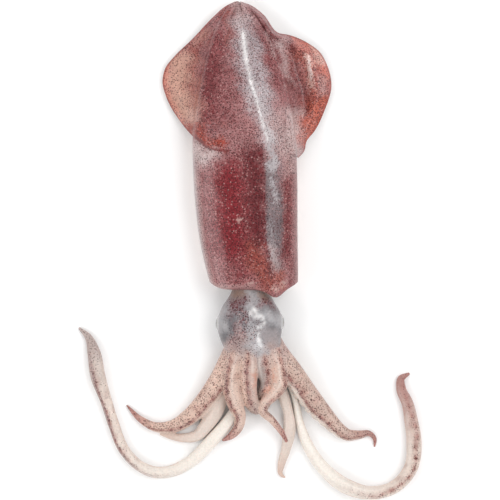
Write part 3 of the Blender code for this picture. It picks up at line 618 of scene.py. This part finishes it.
def makeHead():
    sizes = Route([(y, 0, x, half, low, high) for x, y, half, low, high in head["rows"]])
    share, angle = ringGrid(np.linspace(0, 1, 150), 140)
    rows = sizes.at(share)
    y, x, half, low, high = (rows[..., i] for i in (0, 2, 3, 4, 5))
    middle = (low + high) / 2
    across = squared(np.cos(angle), head["roundness"]) * half
    upward = squared(np.sin(angle), head["roundness"]) * (high - middle)
    grid = np.stack((x + across, y, middle + upward), axis=-1)
    for sign in (-1, 1):  # the eyes swell at the sides, so the crown of the head is dented beside them
        dent = np.exp(-(((grid[..., 0] - sign * 10) / 3.6) ** 2) - ((y + 50) / 9) ** 2)
        grid[..., 2] -= head["dent"] * dent * (angle > 0)
    upper = smooth(np.sin(angle), -0.35, 0.1)
    layers = plainLayers(share.shape, "silver", 0.35)
    layers = blend(layers, smooth(-y, 62, 72) * 0.8, "blushed", 0.6, 0.25)
    layers = paint(layers, grid[..., 0], y, headStrokes, upper)
    layers = blend(layers, 1 - upper, "pearl", 0.12)
    ends = []
    for end, push in ((0.0, 4), (1.0, -4)):
        at = sizes.at(np.array(end))
        ends.append((at[2], at[0] + push, (at[4] + at[5]) / 2))
    return closedPiece("headForm", grid, ends, layers)


def makeLid(side):  # the clear skin that bulges over the eye
    polar, turn = ringGrid(np.linspace(0.03, 3.11, 60), 60)
    facing = -1 if side == "right" else 1
    centre = np.array(eyes[side]) - np.array((facing * eyes["lidIn"], 0, 0))
    radius = eyes["lidRadius"]
    ring = 0.25 * np.exp(-(((polar - 0.78) / 0.12) ** 2))
    reach = radius + ring
    grid = np.stack((centre[0] + facing * reach * np.cos(polar), centre[1] + reach * np.sin(polar) * np.cos(turn),
                     centre[2] + reach * np.sin(polar) * np.sin(turn)), axis=-1)
    layers = plainLayers(polar.shape, "silver", 0.05)
    layers = blend(layers, smooth(polar, 1.1, 0.75) * 0.45, "pearl", 0.0)
    layers = paint(layers, grid[..., 0], grid[..., 1], headStrokes, smooth(grid[..., 2], 14, 20))
    ends = [tuple(centre + np.array((facing * way * radius, 0, 0))) for way in (1, -1)]
    return closedPiece(f"{side}LidForm", grid, ends, layers)


def makeFunnel():
    rows = ((-8, 5.5, 6, 6), (-20, 4.6, 9.5, 8), (-28, 4.2, 9, 8), (-35, 2.4, 7.6, 7.4), (-45, 0.6, 5.2, 6.4))
    sizes = Route([(y, 0, lift, half, high) for y, lift, half, high in rows])
    shares = np.concatenate((np.linspace(0, 1, 40), np.linspace(1, 0.75, 10)))
    insets = np.concatenate((np.zeros(40), np.linspace(1.0, 1.6, 10)))
    ring, angle = ringGrid(np.arange(50), 60)
    at, inset = sizes.at(shares[ring]), insets[ring]
    grid = np.stack(((at[..., 3] - inset) * np.cos(angle), at[..., 0],
                     at[..., 2] + at[..., 4] / 2 + (at[..., 4] / 2 - inset) * np.sin(angle)), axis=-1)
    return closedPiece("funnelForm", grid, ((0, -5, 8.5), (0, -36, 5.6)), plainLayers(angle.shape, "pearl", 0.15))


def mergeSkins(name, pieces, voxel, rounds):  # one skin over several forms, keeping the nearest form's colours
    tree = kdtree.KDTree(sum(len(piece.data.vertices) for piece in pieces))
    layers = {layer: np.concatenate([readLayer(piece.data, layer) for piece in pieces])
              for layer in ("tint", "dots", "spots")}
    points, faces = [], []
    for piece in pieces:
        base = len(points)
        for vertex in piece.data.vertices:
            tree.insert(vertex.co, len(points))
            points.append(vertex.co[:])
        faces.extend([base + i for i in face.vertices] for face in piece.data.polygons)
    tree.balance()
    skin = newPiece(name, np.array(points) / mm, faces)
    remesh = skin.modifiers.new("remesh", "REMESH")
    remesh.mode, remesh.voxel_size = "VOXEL", voxel * mm
    soften = skin.modifiers.new("soften", "SMOOTH")
    soften.factor, soften.iterations = 0.5, rounds
    fine = bpy.data.meshes.new_from_object(skin.evaluated_get(bpy.context.evaluated_depsgraph_get()))
    skin.modifiers.clear()
    skin.data, fine.name = fine, name
    for attribute in list(fine.attributes):
        if attribute.name in layers:
            fine.attributes.remove(attribute)
    found = [tree.find_n(vertex.co, 4) for vertex in fine.vertices]
    picks = np.array([[index for _, index, _ in near] for near in found])
    weights = np.array([[1 / (distance + 0.0003) for _, _, distance in near] for near in found])
    weights = weights / weights.sum(axis=1, keepdims=True)
    for layer, values in layers.items():
        near = values[picks]
        share = weights[..., None] if near.ndim == 3 else weights
        addLayer(fine, layer, (near * share).sum(axis=1))
    fine.shade_smooth()
    for piece in pieces:
        bpy.data.objects.remove(piece)
    return skin


print("head and arms")
headForms = [makeHead(), makeFunnel(), makeLid("left"), makeLid("right")]
headForms += [makeLimb(f"{name}Form", arm, 0.9, 48) for name, arm in arms.items()]
headSkin = mergeSkins("headSkin", headForms, 0.57, 4)
print("tentacles")
tentacleSkins = {side: makeLimb(f"{side}Tentacle", limb, 0.7, 56) for side, limb in tentacles.items()}


def makeEye(side):
    polar, turn = ringGrid(np.linspace(0.02, 3.12, 90), 80)
    facing = -1 if side == "right" else 1
    radius = eyes["radius"]
    grid = np.stack((eyes[side][0] + facing * radius * np.cos(polar), eyes[side][1] + radius * np.sin(polar) * np.cos(turn),
                     eyes[side][2] + radius * np.sin(polar) * np.sin(turn)), axis=-1)
    ends = [(eyes[side][0] + facing * radius * way, *eyes[side][1:]) for way in (1, -1)]
    return closedPiece(f"{side}Eye", grid, ends, {"ring": polar})


print("eyes")
eyeSkins = {side: makeEye(side) for side in ("left", "right")}


# ---- suckers: two rows of small cups under every arm, and four on each tentacle's club

suckers = {"spacing": 1.5, "size": 0.17, "largest": 0.85, "around": 10, "floor": 0.02}


def suckerCup():
    profile = ((1.0, -0.3), (1.05, 0.25), (0.85, 0.5), (0.6, 0.42), (0.45, 0.1))
    count = suckers["around"]
    turns = np.linspace(0, 2 * math.pi, count, endpoint=False)
    points = [(r * math.cos(t), r * math.sin(t), h) for r, h in profile for t in turns] + [(0, 0, 0.0), (0, 0, -0.3)]
    faces = []
    for step in range(count):
        following = (step + 1) % count
        for ring in range(len(profile) - 1):
            base = ring * count
            faces.append((base + step, base + following, base + count + following, base + count + step))
        inner = (len(profile) - 1) * count
        faces.append((inner + step, inner + following, len(points) - 2))
        faces.append((following, step, len(points) - 1))
    return np.array(points), faces


def placeSuckers(limb, start, end, rowAngles, points, faces):
    cup, cupFaces = suckerCup()
    route = limb["route"]
    where, row = start * route.length, 0
    while where < end * route.length:
        share = where / route.length
        half = float(route.at(np.array(share))[3])
        size = min(suckers["largest"], suckers["size"] * half) * random.uniform(0.85, 1.1)
        for angle in rowAngles[row % 2]:
            spot = limbSurface(limb, np.array(share), np.array(angle))
            beside = limbSurface(limb, np.array(share), np.array(angle + 0.05)) - spot
            ahead = limbSurface(limb, np.array(share + 0.01), np.array(angle)) - spot
            outward = Vector(np.cross(ahead, beside)).normalized()
            x, y, lift, _ = route.at(np.array(share))
            if outward.dot(Vector(spot) - Vector((x, y, lift + half * limbForm["depth"]))) < 0:
                outward = -outward
            turn = Vector((0, 0, 1)).rotation_difference(outward).to_matrix()
            base = len(points)
            points.extend((np.array([turn @ Vector(point * size) for point in cup]) + spot).tolist())
            faces.extend([tuple(base + i for i in face) for face in cupFaces])
        where += suckers["spacing"] * max(size, 0.35)
        row += 1


print("suckers")
suckerPoints, suckerFaces = [], []
for arm in arms.values():
    inward = -1 if arm["keel"] > 0 else 1
    placeSuckers(arm, 0.25, 0.93, ((inward * 0.75 - math.pi / 2,), (inward * 0.25 - math.pi / 2,)),
                 suckerPoints, suckerFaces)
for limb in tentacles.values():
    placeSuckers(limb, limb["clubFrom"] + 0.03, 0.97, ((-2.2, -1.3), (-1.75, -0.95)), suckerPoints, suckerFaces)
suckerPoints = np.array(suckerPoints)
suckerPoints[:, 2] = np.maximum(suckerPoints[:, 2], suckers["floor"])
suckerCups = newPiece("suckerCups", suckerPoints, suckerFaces)
suckerCups.data.shade_smooth()


# ---- materials

def rgb(red, green, blue):
    return (*linear(red, green, blue), 1)


class Wire:  # a socket that Python's operators work on
    def __init__(self, shade, socket):
        self.shade, self.socket = shade, socket

    def __add__(self, other):
        return self.shade.math("ADD", self, other)

    def __sub__(self, other):
        return self.shade.math("SUBTRACT", self, other)

    def __rsub__(self, other):
        return self.shade.math("SUBTRACT", other, self)

    def __mul__(self, other):
        return self.shade.math("MULTIPLY", self, other)

    def __truediv__(self, other):
        return self.shade.math("DIVIDE", self, other)

    def __rtruediv__(self, other):
        return self.shade.math("DIVIDE", other, self)

    __radd__ = __add__
    __rmul__ = __mul__


class Shade:
    def __init__(self, name):
        self.material = bpy.data.materials.new(name)
        self.material.use_nodes = True
        self.tree = self.material.node_tree
        self.surface = self.tree.nodes["Principled BSDF"]

    def add(self, kind, settings, inputs, output=0):
        node = self.tree.nodes.new(kind)
        for setting, value in settings.items():
            if setting == "stops":
                ramp = node.color_ramp
                while len(ramp.elements) < len(value):
                    ramp.elements.new(0.5)
                for element, (position, colour) in zip(ramp.elements, value):
                    element.position, element.color = position, colour
            else:
                setattr(node, setting, value)
        for socket, value in inputs.items():
            self.plug(node.inputs[socket], value)
        return Wire(self, node.outputs[output])

    def plug(self, socket, value):
        if isinstance(value, Wire):
            self.tree.links.new(value.socket, socket)
        else:
            socket.default_value = value

    def math(self, operation, first, second):
        return self.add("ShaderNodeMath", {"operation": operation}, {0: first, 1: second})

    def layer(self, name, output="Fac"):
        return self.add("ShaderNodeAttribute", {"attribute_name": name}, {}, output)

    def step(self, value, low, high):
        return self.add("ShaderNodeMapRange", {"interpolation_type": "SMOOTHSTEP"},
                        {"Value": value, "From Min": low, "From Max": high})

    def mix(self, share, first, second):
        return self.add("ShaderNodeMix", {"data_type": "RGBA"}, {0: share, 6: first, 7: second}, 2)

    def scale(self, colour, amount):
        return self.add("ShaderNodeVectorMath", {"operation": "SCALE"}, {"Vector": colour, "Scale": amount})

    def noise(self, spot, scale, detail):
        return self.add("ShaderNodeTexNoise", {}, {"Vector": spot, "Scale": scale, "Detail": detail}, "Fac")

    def cells(self, spot, scale):
        return self.add("ShaderNodeTexVoronoi", {}, {"Vector": spot, "Scale": scale, "Randomness": 0.82}, "Distance")

    def set(self, **values):
        for name, value in values.items():
            self.plug(self.surface.inputs[name.replace("_", " ")], value)


skinLook = {
    "fineScale": 760.0, "denseScale": 1050.0, "spotScale": 400.0, "speckScale": 470.0,
    "fineDot": rgb(50, 14, 18), "denseDot": rgb(96, 18, 24), "spot": rgb(78, 14, 20), "speck": rgb(194, 152, 148),
    "blotch": rgb(106, 22, 30), "blotchScale": 430.0, "lift": 0.14,
    "mottle": 0.52, "grain": 0.9, "roughness": 0.36, "coat": 0.3, "coatRoughness": 0.14, "specular": 0.22,
    "bump": 0.5,
}


def skinMaterial(name, look):
    shade = Shade(name)
    spot = shade.add("ShaderNodeTexCoord", {}, {}, "Object")
    tint, dots, spots = shade.layer("tint", "Color"), shade.layer("dots"), shade.layer("spots")
    broad = shade.noise(spot, 75.0, 3.0)
    cloud = shade.noise(spot, 260.0, 3.0)
    grain = shade.noise(spot, 800.0, 2.0)
    lively = shade.step(dots, 0.0, 0.9)
    value = 1 + lively * look["lift"]
    value = value + (broad - 0.5) * look["mottle"] * lively + (cloud - 0.5) * (0.16 + look["mottle"] * lively)
    value = value + (grain - 0.5) * look["grain"] * (0.35 + lively * 0.65)
    colour = shade.scale(tint, value)

    pale = 1 - shade.step(shade.cells(spot, look["speckScale"]), 0.12, 0.38)
    colour = shade.mix(pale * 0.62 * shade.step(broad, 0.28, 0.5) * shade.step(dots, 0.5, 0.9), colour, look["speck"])
    blotch = shade.step(shade.noise(spot, look["blotchScale"], 2.0), 0.5, 0.64)
    colour = shade.mix(blotch * shade.step(dots, 0.75, 1.0) * 0.6, colour, look["blotch"])
    patchy = dots + (cloud - 0.5) * 0.7
    dense = 1 - shade.step(shade.cells(spot, look["denseScale"]), 0.2, 0.55)
    colour = shade.mix(dense * shade.step(patchy, 0.5, 1.0) * 0.7, colour, look["denseDot"])
    size = 0.2 + patchy * 0.2
    fine = 1 - shade.step(shade.cells(spot, look["fineScale"]), size - 0.14, size + 0.1)
    fine = fine * shade.step(patchy, 0.08, 0.5)
    colour = shade.mix(fine * 0.78, colour, look["fineDot"])
    large = 1 - shade.step(shade.cells(spot, look["spotScale"]), 0.2, 0.42)
    colour = shade.mix(large * shade.step(spots + (cloud - 0.5) * 0.6, 0.25, 0.75) * 0.8, colour, look["spot"])

    relief = grain * 0.35 + cloud * 0.8 + fine * 0.25
    bump = shade.add("ShaderNodeBump", {}, {"Height": relief, "Strength": look["bump"], "Distance": 0.0003})
    shade.set(Base_Color=colour, Normal=bump, Roughness=look["roughness"], Specular_IOR_Level=look["specular"],
              Coat_Weight=look["coat"], Coat_Roughness=look["coatRoughness"],
              Subsurface_Weight=0.08, Subsurface_Scale=0.003)
    shade.surface.inputs["Subsurface Radius"].default_value = (1.0, 0.45, 0.35)
    return shade.material


def eyeMaterial(name):
    shade = Shade(name)
    ring = shade.layer("ring")
    spot = shade.add("ShaderNodeTexCoord", {}, {}, "Object")
    cloud = shade.noise(spot, 320.0, 3.0)
    place = ring * (1 / math.pi) + (cloud - 0.5) * 0.02
    colour = shade.add("ShaderNodeValToRGB", {"stops": (
        (0.0, rgb(8, 8, 12)), (0.115, rgb(12, 12, 16)), (0.135, rgb(130, 128, 122)), (0.19, rgb(172, 170, 170)),
        (0.25, rgb(164, 162, 165)), (0.5, rgb(168, 166, 169)))}, {"Fac": place})
    shade.set(Base_Color=colour, Roughness=0.2, Coat_Weight=1.0, Coat_Roughness=0.05)
    return shade.material


def suckerMaterial(name):
    shade = Shade(name)
    spot = shade.add("ShaderNodeTexCoord", {}, {}, "Object")
    colour = shade.mix(shade.noise(spot, 300.0, 3.0), rgb(222, 200, 184), rgb(194, 156, 140))
    shade.set(Base_Color=colour, Roughness=0.35, Coat_Weight=0.5, Coat_Roughness=0.15)
    return shade.material


print("materials")
squidSkin = skinMaterial("squidSkin", skinLook)
wearers = [(piece, squidSkin, "mantle_skin") for piece in (mantleSkin, *finSkins)]
wearers += [(headSkin, squidSkin, "head_skin"), (suckerCups, suckerMaterial("suckerFlesh"), "head_skin")]
wearers += [(piece, squidSkin, "tentacle_skin") for piece in tentacleSkins.values()]
eyeGloss = eyeMaterial("eyeGloss")
wearers += [(piece, eyeGloss, "eye") for piece in eyeSkins.values()]
for piece, material, slot in wearers:
    piece.data.materials.clear()
    piece.data.materials.append(material)
    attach(piece, "root")
for piece in (mantleSkin, *finSkins):
    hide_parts("mantle")
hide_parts("head")
for side in ("left", "right"):
    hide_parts(f"tentacle_{side}")
    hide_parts(f"eye_{side}")


# ---- table, light and camera

studio = {"cameraHeight": 1.92, "lens": 200.0, "tableHalf": 3.0, "world": 0.42}
lamps = (  # name, place, width, length, power
    ("key", (1.0, 0.35, 1.2), 1.1, 1.5, 14.0),
    ("left", (-1.3, -0.3, 0.9), 0.9, 1.2, 11.0),
    ("front", (0.2, -1.4, 0.9), 1.2, 0.7, 8.0),
    ("tipSide", (-0.1, 1.4, 0.9), 1.2, 0.6, 7.0),
)
half = studio["tableHalf"]
table = newPiece("table", np.array([(-half, -half, 0), (half, -half, 0), (half, half, 0), (-half, half, 0)]) / mm,
                 [(0, 1, 2, 3)])
tableShade = Shade("paleTable")
tableShade.set(Base_Color=rgb(253, 253, 253), Roughness=0.8, Specular_IOR_Level=0.2)
table.data.materials.append(tableShade.material)

for name, place, wide, long, power in lamps:
    data = bpy.data.lights.new(name, "AREA")
    data.shape, data.size, data.size_y, data.energy = "RECTANGLE", wide, long, power
    lamp = bpy.data.objects.new(name, data)
    lamp.location = place
    lamp.rotation_euler = Vector(place).to_track_quat("Z", "Y").to_euler()
    bpy.context.scene.collection.objects.link(lamp)

world = bpy.data.worlds.new("studio")
bpy.context.scene.world = world
world.use_nodes = True
world.node_tree.nodes["Background"].inputs["Color"].default_value = (1, 1, 1, 1)
world.node_tree.nodes["Background"].inputs["Strength"].default_value = studio["world"]

camera = bpy.data.objects.new("camera", bpy.data.cameras.new("camera"))
camera.data.lens = studio["lens"]
camera.location = (0, 0, studio["cameraHeight"])
bpy.context.scene.collection.objects.link(camera)
bpy.context.scene.camera = camera
bpy.context.scene.view_settings.view_transform = "Standard"

print("done")
